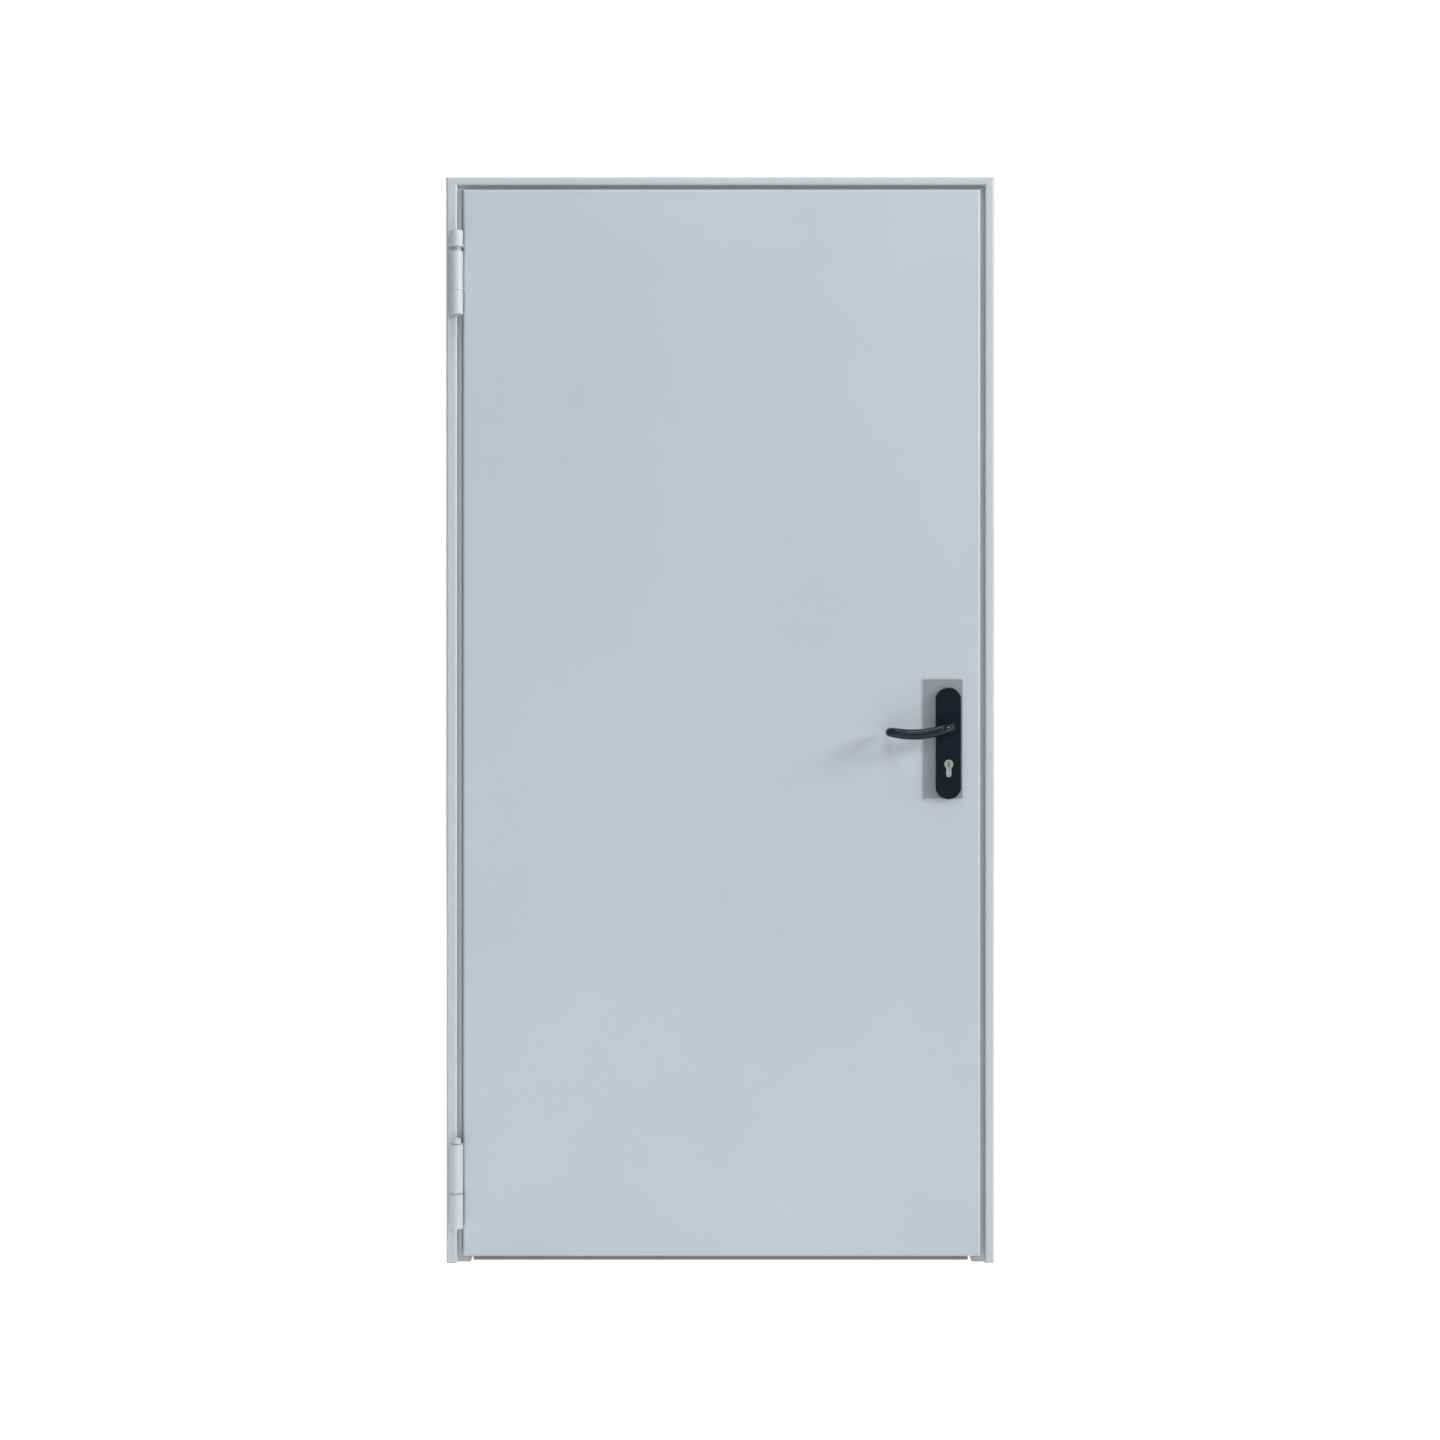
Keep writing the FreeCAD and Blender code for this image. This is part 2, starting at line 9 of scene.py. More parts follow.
import bmesh
import bpy
import numpy as np
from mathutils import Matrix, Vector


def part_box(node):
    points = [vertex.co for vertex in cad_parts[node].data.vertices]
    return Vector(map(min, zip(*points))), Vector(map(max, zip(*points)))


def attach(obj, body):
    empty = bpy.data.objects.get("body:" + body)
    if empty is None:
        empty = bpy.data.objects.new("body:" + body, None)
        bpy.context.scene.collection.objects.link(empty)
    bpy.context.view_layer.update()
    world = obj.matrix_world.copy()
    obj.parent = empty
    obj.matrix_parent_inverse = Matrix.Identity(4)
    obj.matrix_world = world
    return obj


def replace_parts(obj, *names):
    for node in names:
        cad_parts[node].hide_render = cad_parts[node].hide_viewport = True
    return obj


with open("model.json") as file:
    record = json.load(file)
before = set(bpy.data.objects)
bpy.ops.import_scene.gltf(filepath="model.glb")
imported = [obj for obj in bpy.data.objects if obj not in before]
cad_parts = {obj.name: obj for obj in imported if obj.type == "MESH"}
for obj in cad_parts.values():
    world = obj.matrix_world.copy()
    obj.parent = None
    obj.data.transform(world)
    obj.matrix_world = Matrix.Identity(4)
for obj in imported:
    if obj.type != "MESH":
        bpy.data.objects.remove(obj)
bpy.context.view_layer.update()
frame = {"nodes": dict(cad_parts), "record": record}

MM = 0.001
MERGE_DISTANCE = 0.002 * MM
SHORTEST_EDGE = 0.001 * MM
X_AXIS = np.array((1.0, 0.0, 0.0))
Y_AXIS = np.array((0.0, 1.0, 0.0))
Z_AXIS = np.array((0.0, 0.0, 1.0))

# Lever: a round bar bent into a U, bowed along the grip and thickest in its middle
NECK_LENGTH = 20 * MM
LEVER_BEND = 18 * MM
LEVER_LENGTH = 121 * MM
TIP_RADIUS = 9 * MM
GRIP_FALL = radians(18)
GRIP_RISE = radians(8)
RETURN_LENGTH = 22 * MM
NECK_DEPTH = 6 * MM
NECK_PLACES = np.array((-6, -6, 6.6, 7.4, 8, 9, 11, 14, 18, 18)) * MM
NECK_RADII = np.array((0, 11.5, 11.5, 11.3, 10.6, 9.6, 8.7, 8.1, 7.6, 0)) * MM
BAR_RADIUS = 7.4 * MM
BAR_SWELL = 2.4 * MM
SWELL_LEAN = 1.15
TIP_ROUND = 5 * MM
BAR_RINGS = 170
TIP_RINGS = 12

# Seal: shares of its strip's width and height
BULB_POINTS = 15
BULB_HALF_WIDTH = 0.36
BULB_FOOT = 0.42
STRIP_EDGE = 0.26
STRIP_TOP = 0.3
STRIP_CHAMFER = 0.1

# Fasteners and caps; recess and socket sizes are shares of a head's radius, their depths of its rise
DOME_RIM = 0.25
SCREW_RADIUS = 4.2 * MM
SCREW_RISE = 0.7 * MM
SCREW_SINK = 3 * MM
CROSS_HALF_WIDTH = 0.13
CROSS_REACH = 0.62
CROSS_WALL = 0.05
CROSS_RAMP = 0.3
CROSS_DEPTH = 1.5
FOREND_INSET = 11 * MM
STRIKE_INSET = 9 * MM
PLATE_INSET = 20 * MM
PLATE_COLLAR = 2 * MM
CYLINDER_DROP = 70 * MM
HOLE_CAP_RADIUS = 8.5 * MM
HOLE_CAP_RISE = 1.8 * MM
HOLE_CAP_SINK = 1 * MM
BRACKET_HALF = 17 * MM
BRACKETS = 4
PIN_PLUG_RADIUS = 6 * MM
PIN_PLUG_RISE = 1.2 * MM
PIN_PLUG_SINK = 2 * MM
SOCKET_HALF_WIDTH = 0.5
SOCKET_SLANT = (0.866, 0.5)
SOCKET_WALL = 0.04
SOCKET_DEPTH = 1.6

# Plugs in the open ends of the leaf's top rail
RAIL_WALL = 1.5 * MM
RAIL_PLUG_GAP = 0.4 * MM
RAIL_PLUG_PRESS = 0.8 * MM
RAIL_PLUG_SINK = 5 * MM
RAIL_PLUG_CORNERS = 12
PANEL_REACH = 0.7
PANEL_WALL = 0.1

# Weld beads of the hinge wings
BEAD_RADIUS = 1.6 * MM
BEAD_PITCH = 2.4 * MM
BEAD_INSET = 0.5 * MM
BEAD_OFFSET = 0.4 * MM
BEAD_RIPPLE = 0.12
BEAD_RINGS = 6
BEAD_LEAST_RINGS = 24
BEAD_SIDES = 12
HINGE_FACE = 21 * MM
FRAME_WING = (-37 * MM, -29 * MM)
LEAF_WING = (-34 * MM, -32.4 * MM)
LOWER_KNUCKLE = 44 * MM
UPPER_KNUCKLE = 31 * MM


def low(node):
    """Lowest corner of a node's box."""
    return np.array(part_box(node)[0])


def high(node):
    """Highest corner of a node's box."""
    return np.array(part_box(node)[1])


joint_place = {joint["name"]: np.array(joint["pos_m"]) for joint in frame["record"]["behaviour"]["joints"]}
spindle_axis = joint_place["lever_turn"]
hinge_axis = joint_place["door_swing"]


# Surfaces

def quads(rows, columns):
    """Quads of a grid of points kept row after row, its last column joined to its first."""
    start = np.arange(rows - 1)[:, None] * columns
    here = np.arange(columns)[None, :]
    after = (here + 1) % columns
    corners = (start + here, start + after, start + columns + after, start + columns + here)
    return np.stack(corners, axis=-1).reshape(-1, 4)


def piece(name, surfaces, slot, body, sharp=40, finish=None):
    """Object of closed surfaces, each a grid of rings: doubles merged, faces outwards, shaded smooth."""
    points = np.concatenate([surface.reshape(-1, 3) for surface in surfaces])
    firsts = np.cumsum([0] + [surface.shape[0] * surface.shape[1] for surface in surfaces[:-1]])
    faces = np.concatenate([first + quads(*surface.shape[:2]) for first, surface in zip(firsts, surfaces)])
    mesh = bpy.data.meshes.new(name)
    mesh.from_pydata(points.tolist(), [], faces.tolist())
    shell = bmesh.new()
    shell.from_mesh(mesh)
    bmesh.ops.remove_doubles(shell, verts=shell.verts, dist=MERGE_DISTANCE)
    bmesh.ops.dissolve_degenerate(shell, edges=shell.edges, dist=SHORTEST_EDGE)
    bmesh.ops.recalc_face_normals(shell, faces=shell.faces)
    shell.to_mesh(mesh)
    shell.free()
    mesh.shade_smooth()
    mesh.set_sharp_from_angle(angle=radians(sharp))
    mesh.materials.append(finish or finishes[slot])
    made = bpy.data.objects.new(name, mesh)
    bpy.context.collection.objects.link(made)
    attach(made, body)
    return made


def unit(vectors):
    """Vectors brought to length 1."""
    return vectors / np.linalg.norm(vectors, axis=-1, keepdims=True)


def tube(path, heading, radius, sides=48):
    """Rings along a path: centre + radius * (cos a * side + sin a * top), both square to the heading."""
    side = unit(np.cross(heading, Z_AXIS))
    top = np.cross(side, heading)
    angle = np.linspace(0, 2 * pi, sides, endpoint=False)[:, None]
    ring = np.cos(angle) * side[:, None, :] + np.sin(angle) * top[:, None, :]
    return path[:, None, :] + np.reshape(radius, (-1, 1, 1)) * ring


def lathe(radius, depth, centre, axis, sides=64):
    """Profile of radius against depth, turned about a level axis through the centre."""
    aside = np.cross(axis, Z_AXIS)
    across = np.cross(axis, aside)
    angle = np.linspace(0, 2 * pi, sides, endpoint=False)[None, :, None]
    ring = np.cos(angle) * aside + np.sin(angle) * across
    return centre + np.reshape(radius, (-1, 1, 1)) * ring + np.reshape(depth, (-1, 1, 1)) * axis


def head(centre, axis, half_sizes, height_at, sink, rings=22, sides=64, corners=2):
    """Low head on a face: its rim is |u| ** corners + |v| ** corners = 1, which is a circle for 2 and a
    rectangle for more, its height is height_at(u, v), and a straight side and a flat base below the face
    close it."""
    up = Y_AXIS if axis[2] else Z_AXIS
    right = np.cross(up, axis)
    share = np.linspace(0, 1, rings)[:, None]
    angle = np.linspace(0, 2 * pi, sides, endpoint=False)[None, :]
    rim = (np.abs(np.cos(angle)) ** corners + np.abs(np.sin(angle)) ** corners) ** (-1 / corners)
    rim_u = rim * np.cos(angle)
    rim_v = rim * np.sin(angle)
    u = np.concatenate([share * rim_u, rim_u, 0 * angle])
    v = np.concatenate([share * rim_v, rim_v, 0 * angle])
    height = height_at(u, v)
    height[-2:] = -sink
    across = half_sizes[0] * u[..., None] * right + half_sizes[1] * v[..., None] * up
    return centre + across + height[..., None] * axis


def dome(u, v):
    """Part of a flat ellipsoid: 1 in the middle and DOME_RIM at the rim."""
    return DOME_RIM + (1 - DOME_RIM) * np.sqrt(np.clip(1 - u * u - v * v, 0, 1))


def step_down(distance, edge, wall):
    """1 inside an edge and 0 outside it, with a straight slope as wide as the wall between them."""
    return np.clip((edge - distance) / wall + 0.5, 0, 1)


def cross_recess(u, v):
    """Depth of a cross: two crossed bars, deepest where both meet and rising to nothing at their ends."""
    far = np.maximum(np.abs(u), np.abs(v))
    near = np.minimum(np.abs(u), np.abs(v))
    return step_down(near, CROSS_HALF_WIDTH, CROSS_WALL) * np.clip((CROSS_REACH - far) / CROSS_RAMP, 0, 1)


def screw_relief(u, v):
    """Low dome less a cross recess that is deeper than the dome is high."""
    return SCREW_RISE * (dome(u, v) - CROSS_DEPTH * cross_recess(u, v))


def hole_cap_relief(u, v):
    """Low dome of a plastic hole cap."""
    return HOLE_CAP_RISE * dome(u, v)


def pin_plug_relief(u, v):
    """Low dome with a six-sided socket: the hexagon is the largest of three widths turned by 60 degrees."""
    width = np.maximum(np.abs(v), SOCKET_SLANT[0] * np.abs(u) + SOCKET_SLANT[1] * np.abs(v))
    socket = step_down(width, SOCKET_HALF_WIDTH, SOCKET_WALL)
    return PIN_PLUG_RISE * (dome(u, v) - SOCKET_DEPTH * socket)


def rail_plug_relief(u, v):
    """Flat plate with a pressed panel: the height falls where the larger of |u| and |v| is in its reach."""
    return -RAIL_PLUG_PRESS * step_down(np.maximum(np.abs(u), np.abs(v)), PANEL_REACH, PANEL_WALL)


def bead(start, end, radius, pitch):
    """Weld bead along a level line: a tube with a ripple each pitch, rounded to nothing at both ends."""
    start = np.array(start)
    end = np.array(end)
    length = np.linalg.norm(end - start)
    rings = max(BEAD_LEAST_RINGS, int(length / pitch * BEAD_RINGS))
    share = (1 - np.cos(np.linspace(0, pi, rings))) / 2
    ripple = 1 + BEAD_RIPPLE * np.cos(2 * pi * share * length / pitch)
    to_end = np.minimum(share, 1 - share) * length
    rounding = np.sqrt(1 - (1 - np.clip(to_end / radius, 0, 1)) ** 2)
    path = start + share[:, None] * (end - start)
    heading = np.tile((end - start) / length, (len(share), 1))
    return tube(path, heading, radius * ripple * rounding, sides=BEAD_SIDES)


# Finishes

CLOUD_ROUGHNESS = 0.55
CLOUD_RANGE = (0.3, 0.7)
# Bluish tint on the nylon's reflections: a painted reflection colour.
NYLON_PAINTED_REFLECTION_TINT = (0.72, 0.88, 1.0, 1)
ALONG_GRAIN = (1, 1, 0.04)
ALONG_FIBRES = (0.25, 1, 0.25)


def add(material, kind, inputs, **settings):
    """New node of a material: settings are its properties, an input takes a value or a node's output."""
    tree = material.node_tree
    node = tree.nodes.new(kind)
    for name, value in settings.items():
        setattr(node, name, value)
    for name, value in inputs.items():
        if isinstance(value, bpy.types.NodeSocket):
            tree.links.new(value, node.inputs[name])
        else:
            node.inputs[name].default_value = value
    return node


def new_finish(name, sockets):
    """Material with its constant values on the shader's own sockets."""
    material = bpy.data.materials.new(name)
    material.use_nodes = True
    shader = material.node_tree.nodes["Principled BSDF"]
    for socket, value in sockets.items():
        shader.inputs[socket].default_value = value
    return material


def drive(material, socket, output):
    """Joins a pattern to a socket of the shader."""
    shader = material.node_tree.nodes["Principled BSDF"]
    material.node_tree.links.new(output, shader.inputs[socket])


def place_on(material, stretch=(1, 1, 1), shift=(0, 0, 0)):
    """Object coordinates, finer along an axis with a larger stretch, then shifted."""
    coordinates = add(material, "ShaderNodeTexCoord", {}).outputs["Object"]
    inputs = {"Vector": coordinates, "Scale": stretch, "Location": shift}
    return add(material, "ShaderNodeMapping", inputs).outputs["Vector"]


def clouds(material, scale, detail, stretch=(1, 1, 1)):
    """Soft noise with so many waves a metre."""
    inputs = {"Vector": place_on(material, stretch), "Scale": scale, "Detail": detail,
              "Roughness": CLOUD_ROUGHNESS}
    return add(material, "ShaderNodeTexNoise", inputs).outputs["Fac"]


def cells(material, scale, output):
    """Irregular cells, so many a metre: their distance or a random colour for each."""
    inputs = {"Vector": place_on(material), "Scale": scale}
    return add(material, "ShaderNodeTexVoronoi", inputs).outputs[output]


def between(material, pattern, lowest, highest):
    """Pattern turned into a value that runs from lowest to highest over the range of the clouds."""
    inputs = {"Value": pattern, "From Min": CLOUD_RANGE[0], "From Max": CLOUD_RANGE[1],
              "To Min": lowest, "To Max": highest}
    return add(material, "ShaderNodeMapRange", inputs).outputs["Result"]


def tones(material, pattern, *colours):
    """Pattern turned into a run of colours, evenly spaced over the range of the clouds."""
    ramp = add(material, "ShaderNodeValToRGB", {"Fac": pattern})
    stops = ramp.color_ramp.elements
    places = np.linspace(*CLOUD_RANGE, len(colours))
    stops[0].position = places[0]
    stops[1].position = places[-1]
    stops[0].color = (*colours[0], 1)
    stops[1].color = (*colours[-1], 1)
    for position, colour in zip(places[1:-1], colours[1:-1]):
        stops.new(position).color = (*colour, 1)
    return ramp.outputs["Color"]


def relief(material, pattern, depth, strength):
    """Fine unevenness of the surface, as deep as given."""
    inputs = {"Height": pattern, "Distance": depth, "Strength": strength}
    drive(material, "Normal", add(material, "ShaderNodeBump", inputs).outputs["Normal"])


def shade(colour, factor):
    """Colour times a factor, up to white."""
    return tuple(min(1.0, part * factor) for part in colour)


def baked_paint(name, colour):
    """Sprayed and baked paint: slow clouds of two close tones, an orange-peel skin and uneven gloss."""
    paint = new_finish(name, {"Specular IOR Level": 0.5, "Coat Weight": 0.0})
    slow = clouds(paint, scale=2.5, detail=3.0)
    gloss = clouds(paint, scale=9.0, detail=4.0)
    peel = clouds(paint, scale=420.0, detail=1.0)
    drive(paint, "Base Color", tones(paint, slow, shade(colour, 0.975), shade(colour, 1.02)))
    drive(paint, "Roughness", between(paint, gloss, lowest=0.39, highest=0.45))
    relief(paint, peel, depth=0.12 * MM, strength=0.35)
    return paint


def grey_rubber(name, colour):
    """Extruded rubber: fine grain with a little bloom on it."""
    rubber = new_finish(name, {"Specular IOR Level": 0.3})
    bloom = clouds(rubber, scale=60.0, detail=4.0)
    gloss = clouds(rubber, scale=200.0, detail=2.0)
    grain = clouds(rubber, scale=1800.0, detail=2.0)
    drive(rubber, "Base Color", tones(rubber, bloom, shade(colour, 0.82), colour, shade(colour, 1.2)))
    drive(rubber, "Roughness", between(rubber, gloss, lowest=0.6, highest=0.8))
    relief(rubber, grain, depth=0.1 * MM, strength=0.4)
    return rubber


def zinc(name, colour):
    """Zinc plating: small crystals, each with its own tone and gloss."""
    plating = new_finish(name, {"Metallic": 1.0})
    crystal = cells(plating, scale=240.0, output="Color")
    pits = clouds(plating, scale=700.0, detail=3.0)
    drive(plating, "Base Color", tones(plating, crystal, shade(colour, 0.85), colour, shade(colour, 1.12)))
    drive(plating, "Roughness", between(plating, crystal, lowest=0.34, highest=0.52))
    relief(plating, pits, depth=0.05 * MM, strength=0.3)
    return plating


def matt_nickel(name, colour):
    """Brushed nickel: long fine scratches up and down, with slow clouds of gloss."""
    metal = new_finish(name, {"Metallic": 1.0})
    scratches = clouds(metal, scale=900.0, detail=3.0, stretch=ALONG_GRAIN)
    gloss = clouds(metal, scale=90.0, detail=3.0)
    drive(metal, "Base Color", tones(metal, scratches, shade(colour, 0.9), shade(colour, 1.06)))
    drive(metal, "Roughness", between(metal, gloss, lowest=0.28, highest=0.42))
    relief(metal, scratches, depth=0.03 * MM, strength=0.35)
    return metal


def moulded_nylon(name, colour, dullest, glossiest, specular):
    """Moulded nylon: fine spark-eroded grain, more or less polished in clouds, with a bluish tint painted on
    its reflections.
    """
    nylon = new_finish(name, {"Specular IOR Level": specular, "Specular Tint": NYLON_PAINTED_REFLECTION_TINT})
    tint = clouds(nylon, scale=35.0, detail=3.0)
    polish = clouds(nylon, scale=28.0, detail=3.0)
    grain = cells(nylon, scale=1500.0, output="Distance")
    drive(nylon, "Base Color", tones(nylon, tint, shade(colour, 0.8), shade(colour, 1.2)))
    drive(nylon, "Roughness", between(nylon, polish, lowest=glossiest, highest=dullest))
    relief(nylon, grain, depth=0.06 * MM, strength=0.2)
    return nylon


def wool_board(name, colour):
    """Mineral wool: tangled fibres along the board, in light and dark layers."""
    wool = new_finish(name, {"Roughness": 0.95, "Specular IOR Level": 0.1})
    fibres = clouds(wool, scale=260.0, detail=6.0, stretch=ALONG_FIBRES)
    drive(wool, "Base Color", tones(wool, fibres, shade(colour, 0.6), colour, shade(colour, 1.35)))
    relief(wool, fibres, depth=1.2 * MM, strength=0.8)
    return wool


finishes = {
    "frame_paint": baked_paint("frame_paint", (0.50, 0.53, 0.55)),
    "leaf_paint": baked_paint("leaf_paint", (0.475, 0.517, 0.559)),
    "backing_paint": baked_paint("backing_paint", (0.232, 0.25, 0.27)),
    "seal_rubber": grey_rubber("seal_rubber", (0.20, 0.207, 0.213)),
    "zinc_steel": zinc("zinc_steel", (0.40, 0.41, 0.41)),
    "nickel": matt_nickel("nickel", (0.26, 0.265, 0.245)),
    "black_nylon": moulded_nylon("black_nylon", (0.0035, 0.006, 0.009),
                                 dullest=0.5, glossiest=0.36, specular=0.10),
    "mineral_wool": wool_board("mineral_wool", (0.45, 0.36, 0.18)),
}
polished_nylon = moulded_nylon("polished_nylon", (0.0022, 0.0042, 0.0065),
                               dullest=0.18, glossiest=0.10, specular=0.25)
# The hinge rings' paint is darker than the frame's paint: painted shade, for the dark band at each knuckle
# joint.
ring_painted_shade = baked_paint("ring_painted_shade", (0.34, 0.36, 0.375))
# The bottom rail's paint is far darker than the leaf's: it is painted shade, for the dark line seen under
# the leaf.
bottom_rail_painted_shade = baked_paint("bottom_rail_painted_shade", (0.170, 0.181, 0.192))
own_finish = {"upper_hinge_ring": ring_painted_shade, "lower_hinge_ring": ring_painted_shade, "bottom_rail": bottom_rail_painted_shade}
slot_of = {part["node"]: part["material_slot"] for part in frame["record"]["subparts"]}
for name, node in frame["nodes"].items():
    node.data.materials[0] = own_finish.get(name, finishes[slot_of[name]])


# Levers

def lever_line(out, root):
    """Centre line of a lever: it leaves the plate, turns by 90 degrees to the side, falls and rises again in
    an arc along the grip and turns by 90 degrees back to the leaf. The heading is interpolated along the
    length and added up."""
    quarter = LEVER_BEND * pi / 2
    reach = LEVER_LENGTH - TIP_RADIUS - LEVER_BEND * (np.cos(GRIP_FALL) + np.cos(GRIP_RISE))
    grip = reach * (GRIP_FALL + GRIP_RISE) / (np.sin(GRIP_FALL) + np.sin(GRIP_RISE))
    ends = np.cumsum([0, NECK_LENGTH, quarter, grip, quarter, RETURN_LENGTH])
    tip = ends[-1] - TIP_ROUND * np.linspace(0, 1, TIP_RINGS) ** 2
    along = np.unique(np.concatenate([np.linspace(0, ends[-1], BAR_RINGS), tip]))
    turn = np.interp(along, ends[1:5], (0, pi / 2, pi / 2, pi))
    dip = np.interp(along, ends[2:4], (GRIP_FALL, -GRIP_RISE))
    sideways = -np.cos(dip)[:, None] * X_AXIS - np.sin(dip)[:, None] * Z_AXIS
    heading = np.cos(turn)[:, None] * out + np.sin(turn)[:, None] * sideways
    steps = np.diff(along)[:, None] * unit(heading[1:] + heading[:-1])
    path = root + np.concatenate([np.zeros((1, 3)), np.cumsum(steps, axis=0)])
    return along / ends[-1], path, heading, ends[-1]


def make_lever(name, outward, root_y, body):
    """Bar with radius = base + swell * sin(pi * share ** lean), drawn in to a dome at its end, on a turned
    neck."""
    out = Y_AXIS * outward
    root = np.array((spindle_axis[0], root_y, spindle_axis[2]))
    share, path, heading, length = lever_line(out, root)
    radius = BAR_RADIUS + BAR_SWELL * np.sin(pi * share ** SWELL_LEAN)
    to_end = np.clip((1 - share) * length / TIP_ROUND, 0, 1)
    radius = radius * np.sqrt(1 - (1 - to_end) ** 2)
    radius[0] = 0
    bar = tube(path, heading, radius)
    neck = lathe(NECK_RADII, NECK_PLACES, root, out)
    return piece(name, [bar, neck], "black_nylon", body, finish=polished_nylon)


front_lever = make_lever("front_lever_bar", -1, high("front_lever")[1] - NECK_DEPTH, "lever_set")
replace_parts(front_lever, "front_lever")
back_lever = make_lever("back_lever_bar", 1, low("back_lever")[1] + NECK_DEPTH, "lever_set")
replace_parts(back_lever, "back_lever")


# Seal round the frame

def make_seal():
    """Bulb profile carried up one jamb, along the head and down the other, mitred at the corners: each point
    of the path moves towards the opening by the profile's u and off its seat by its v."""
    width = high("hinge_jamb_seal")[0] - low("hinge_jamb_seal")[0]
    seat = high("hinge_jamb_seal")[1]
    rise = seat - low("hinge_jamb_seal")[1]
    turn = np.linspace(0, pi, BULB_POINTS)
    bulb_u = 0.5 - BULB_HALF_WIDTH * np.cos(turn)
    bulb_v = BULB_FOOT + (1 - BULB_FOOT) * np.sin(turn)
    strip_v = (0.0, STRIP_EDGE, STRIP_TOP)
    u = np.concatenate([(0, 0, STRIP_CHAMFER), bulb_u, (1 - STRIP_CHAMFER, 1, 1)]) * width
    v = np.concatenate([strip_v, bulb_v, strip_v[::-1]]) * rise
    left = low("hinge_jamb_seal")[0]
    right = high("lock_jamb_seal")[0]
    top = high("head_seal")[2]
    foot = low("hinge_jamb_seal")[2]
    corner_x = np.array((left, left, left, right, right, right))
    inward_x = np.array((1, 1, 1, -1, -1, -1))
    corner_z = np.array((foot, foot, top, top, foot, foot))
    inward_z = np.array((0, 0, -1, -1, 0, 0))
    x = corner_x[:, None] + inward_x[:, None] * u
    z = corner_z[:, None] + inward_z[:, None] * u
    y = np.tile(seat - v, (len(corner_x), 1))
    rings = np.stack([x, y, z], axis=-1)
    rings[0] = rings[0].mean(axis=0)
    rings[-1] = rings[-1].mean(axis=0)
    return piece("frame_seal", [rings], "seal_rubber", "frame", sharp=50)


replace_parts(make_seal(), "hinge_jamb_seal", "lock_jamb_seal", "head_seal")


# Screws, hole caps and plugs

def screws(name, places, axis, body):
    """Screw heads at these places, on a face that looks along the axis."""
    half_sizes = (SCREW_RADIUS, SCREW_RADIUS)
    heads = [head(np.array(place), axis, half_sizes, screw_relief, SCREW_SINK) for place in places]
    piece(name, heads, "zinc_steel", body, sharp=35)


lock_edge = high("lock_case")[0]
lock_y = (low("lock_case")[1] + high("lock_case")[1]) / 2
forend_ends = (low("lock_case")[2] + FOREND_INSET, high("lock_case")[2] - FOREND_INSET)
cylinder_z = spindle_axis[2] - CYLINDER_DROP
screws("forend_screws", [(lock_edge, lock_y, z) for z in (*forend_ends, cylinder_z)], X_AXIS, "leaf")

strike_face = low("strike_plate")[0]
strike_ends = (low("strike_plate")[2] + STRIKE_INSET, high("strike_plate")[2] - STRIKE_INSET)
screws("strike_screws", [(strike_face, lock_y, z) for z in strike_ends], -X_AXIS, "frame")

back_plate_face = high("back_handle_plate")[1] - PLATE_COLLAR
plate_ends = (low("back_handle_plate")[2] + PLATE_INSET, high("back_handle_plate")[2] - PLATE_INSET)
screws("back_plate_screws", [(spindle_axis[0], back_plate_face, z) for z in plate_ends], Y_AXIS, "leaf")

bracket_y = (low("hinge_jamb_brackets")[1] + high("hinge_jamb_brackets")[1]) / 2
lowest_bracket = low("hinge_jamb_brackets")[2] + BRACKET_HALF
highest_bracket = high("hinge_jamb_brackets")[2] - BRACKET_HALF
for name, x, axis in (("hinge_jamb_caps", high("hinge_jamb")[0], X_AXIS),
                      ("lock_jamb_caps", low("lock_jamb")[0], -X_AXIS)):
    caps = [head(np.array((x, bracket_y, z)), axis, (HOLE_CAP_RADIUS, HOLE_CAP_RADIUS), hole_cap_relief,
                 HOLE_CAP_SINK, rings=12, sides=40)
            for z in np.linspace(lowest_bracket, highest_bracket, BRACKETS)]
    piece(name, caps, "frame_paint", "frame", sharp=30)

pin_ends = ((low("upper_hinge_pin")[2], -Z_AXIS), (high("upper_hinge_pin")[2], Z_AXIS),
            (low("lower_hinge_pin")[2], -Z_AXIS))
pin_plugs = [head(np.array((*hinge_axis[:2], z)), axis, (PIN_PLUG_RADIUS, PIN_PLUG_RADIUS), pin_plug_relief,
                  PIN_PLUG_SINK)
             for z, axis in pin_ends]
piece("hinge_pin_plugs", pin_plugs, "zinc_steel", "frame", sharp=35)

rail_room = RAIL_WALL + RAIL_PLUG_GAP
rail_inside = (low("top_rail") + (RAIL_PLUG_GAP, rail_room, RAIL_PLUG_GAP),
               high("top_rail") - (RAIL_PLUG_GAP, rail_room, rail_room))
rail_middle = (rail_inside[0] + rail_inside[1]) / 2
rail_halves = (rail_inside[1] - rail_inside[0])[1:] / 2
rail_plugs = [head(np.array((corner[0], *rail_middle[1:])), axis, rail_halves, rail_plug_relief,
                   RAIL_PLUG_SINK, corners=RAIL_PLUG_CORNERS)
              for corner, axis in zip(rail_inside, (-X_AXIS, X_AXIS))]
piece("top_rail_plugs", rail_plugs, "leaf_paint", "leaf", sharp=30)


# Welds

def wing_welds(name, x, wing, edges, slot, body):
    """Beads along the upper and lower edges of hinge wings, in the corner with the sheet behind them."""
    beads = [bead((x, wing[0], z), (x, wing[1], z), BEAD_RADIUS, BEAD_PITCH) for z in edges]
    piece(name, beads, slot, body)


def wing_edges(bottom, top):
    """Heights of the two beads of a wing."""
    return [bottom + BEAD_INSET, top - BEAD_INSET]


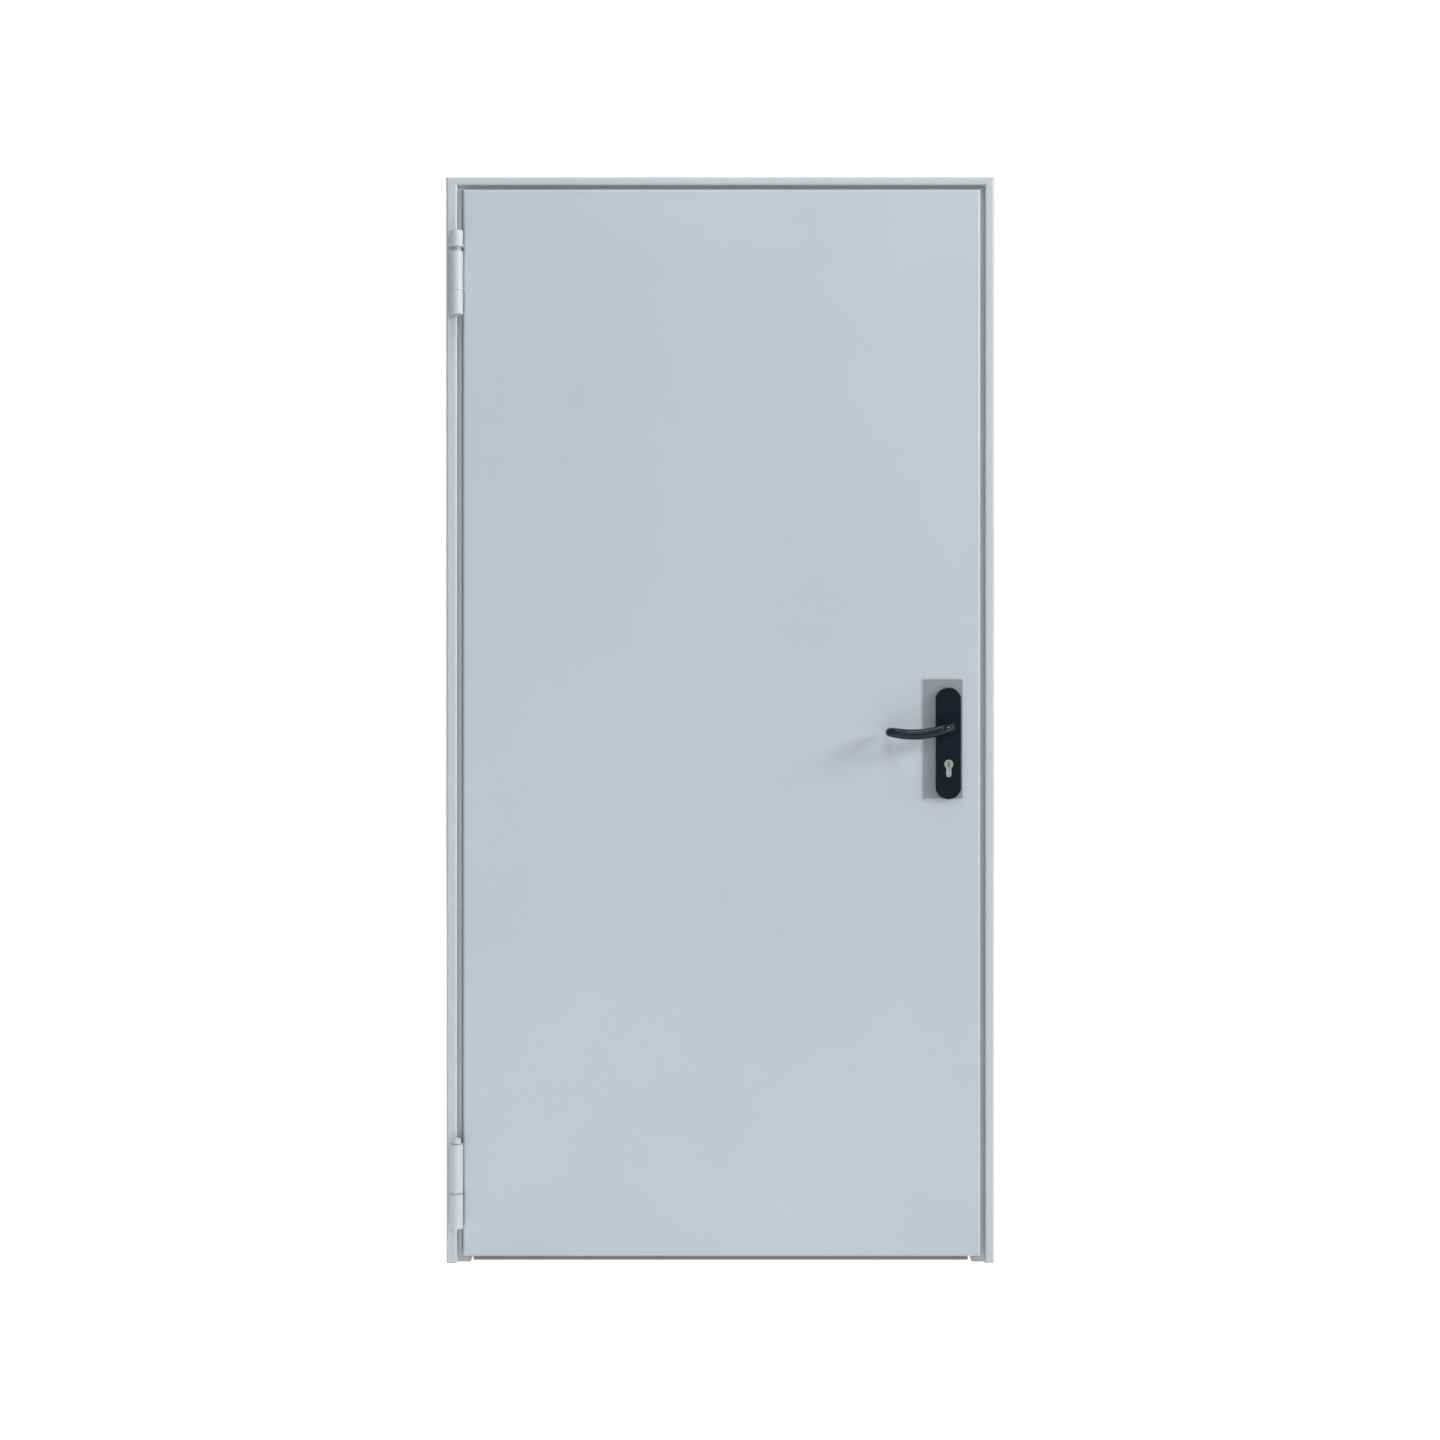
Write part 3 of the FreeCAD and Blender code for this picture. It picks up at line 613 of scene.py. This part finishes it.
upper_low = low("upper_hinge_frame_knuckles")[2]
upper_high = high("upper_hinge_frame_knuckles")[2]
frame_edges = (wing_edges(upper_low, upper_low + LOWER_KNUCKLE)
               + wing_edges(upper_high - UPPER_KNUCKLE, upper_high)
               + wing_edges(low("lower_hinge_frame_knuckle")[2], high("lower_hinge_frame_knuckle")[2]))
wing_welds("frame_wing_welds", HINGE_FACE + BEAD_OFFSET, FRAME_WING, frame_edges, "frame_paint", "frame")

leaf_edges = [edge for node in ("upper_hinge_leaf_knuckle", "lower_hinge_leaf_knuckle")
              for edge in wing_edges(low(node)[2], high(node)[2])]
leaf_edge = low("front_sheet")[0] - BEAD_OFFSET
wing_welds("leaf_wing_welds", leaf_edge, LEAF_WING, leaf_edges, "leaf_paint", "leaf")


# Floor, light and camera

WHITE = (1, 1, 1, 1)
FLOOR_SIZE = 30.0
FLOOR_TONE = (0.9, 0.9, 0.9, 1)
FLOOR_GLOW = 0.84
# Painted light: a pool of glow on the floor in front of the door, which lights the door although the floor
# is no lamp.
POOL_GLOW = 0.46
POOL_RADIUS = 2.2
POOL_CENTRE = np.array((0.5175, -0.9, 0.0))
AMBIENT = 0.185
DOOR_CENTRE = np.array((0.5175, -0.04, 1.025))

# Name, direction from the door's centre, distance, side and share of the light on the leaf
LAMPS = (
    ("key_lamp", (0.873, -0.336, 0.356), 9.0, 2.5, 0.205),
    ("front_lamp", (0.23, -0.87, 0.46), 12.0, 3.5, 0.12),
    ("top_lamp", (0.0, -0.35, 0.94), 5.0, 1.9, 0.11),
    ("left_lamp", (-0.28, -0.96, 0.0), 3.6, 0.8, 0.05),
    ("back_lamp", (-0.35, 0.72, 0.60), 9.0, 3.0, 0.44),
)

SENSOR_WIDTH = 36.0
FOCAL_LENGTH = 60.95
VIEWPOINT = (0.5170, -4.64, 1.0252)


def seen_straight(material):
    """1 for rays from the camera and for mirrored and refracted ones, 0 for light that falls on things."""
    path = add(material, "ShaderNodeLightPath", {}).outputs
    rays = path["Is Camera Ray"]
    for more in ("Is Glossy Ray", "Is Transmission Ray"):
        rays = add(material, "ShaderNodeMath", {0: rays, 1: path[more]}, operation="MAXIMUM").outputs[0]
    return rays


def make_floor():
    """Pale floor: it shows white and lights the door as a pale floor does, and a pool of glow painted on it
    in front of the door, which fades evenly from its middle to its radius, shows and lights the door like a
    lamp."""
    half = FLOOR_SIZE / 2
    mesh = bpy.data.meshes.new("floor")
    corners = [(-half, -half, 0), (half, -half, 0), (half, half, 0), (-half, half, 0)]
    mesh.from_pydata(corners, [], [(0, 1, 2, 3)])
    screed = new_finish("pale_floor", {"Base Color": FLOOR_TONE, "Roughness": 1.0,
                                       "Specular IOR Level": 0.0, "Emission Color": WHITE})
    about_pool = place_on(screed, np.full(3, 1 / POOL_RADIUS), -POOL_CENTRE / POOL_RADIUS)
    fade = add(screed, "ShaderNodeTexGradient", {"Vector": about_pool}, gradient_type="SPHERICAL")
    pool = add(screed, "ShaderNodeMath", {0: fade.outputs["Fac"], 1: POOL_GLOW}, operation="MULTIPLY")
    glow = add(screed, "ShaderNodeMath", {0: seen_straight(screed), 1: FLOOR_GLOW, 2: pool.outputs[0]},
               operation="MULTIPLY_ADD")
    drive(screed, "Emission Strength", glow.outputs[0])
    mesh.materials.append(screed)
    floor = bpy.data.objects.new("floor", mesh)
    bpy.context.collection.objects.link(floor)


def make_sky():
    """White where it is seen, soft grey light where it falls on the door."""
    sky = bpy.data.worlds.new("studio")
    sky.use_nodes = True
    bpy.context.scene.world = sky
    tree = sky.node_tree
    light = tree.nodes["Background"]
    light.inputs["Color"].default_value = WHITE
    light.inputs["Strength"].default_value = AMBIENT
    white = add(sky, "ShaderNodeBackground", {"Color": WHITE, "Strength": 1.0})
    mixed = add(sky, "ShaderNodeMixShader",
                {0: seen_straight(sky), 1: light.outputs[0], 2: white.outputs[0]})
    tree.links.new(mixed.outputs[0], tree.nodes["World Output"].inputs["Surface"])


def aim_at(direction):
    """Turns about X and Z that point a lamp's -Z along a direction."""
    tilt = np.arccos(-direction[2])
    swing = np.arctan2(direction[0], -direction[1])
    return (tilt, 0.0, pi + swing)


def make_lamp(name, direction, distance, size, share):
    """Square lamp aimed at the door's centre. It gives the leaf that share of the light under which white
    shows as white: power = share * pi * pi * distance squared / cosine on the leaf."""
    direction = unit(np.array(direction))
    lamp = bpy.data.lights.new(name, "AREA")
    lamp.shape = "SQUARE"
    lamp.size = size
    lamp.energy = share * pi * pi * distance ** 2 / abs(direction[1])
    made = bpy.data.objects.new(name, lamp)
    bpy.context.collection.objects.link(made)
    made.location = DOOR_CENTRE + distance * direction
    made.rotation_euler = aim_at(-direction)


make_floor()
make_sky()
for lamp_row in LAMPS:
    make_lamp(*lamp_row)

camera = bpy.data.cameras.new("camera")
camera.sensor_width = SENSOR_WIDTH
camera.lens = FOCAL_LENGTH
viewer = bpy.data.objects.new("camera", camera)
viewer.location = VIEWPOINT
viewer.rotation_euler = (pi / 2, 0.0, 0.0)
bpy.context.collection.objects.link(viewer)
bpy.context.scene.camera = viewer
bpy.context.scene.view_settings.view_transform = "Standard"
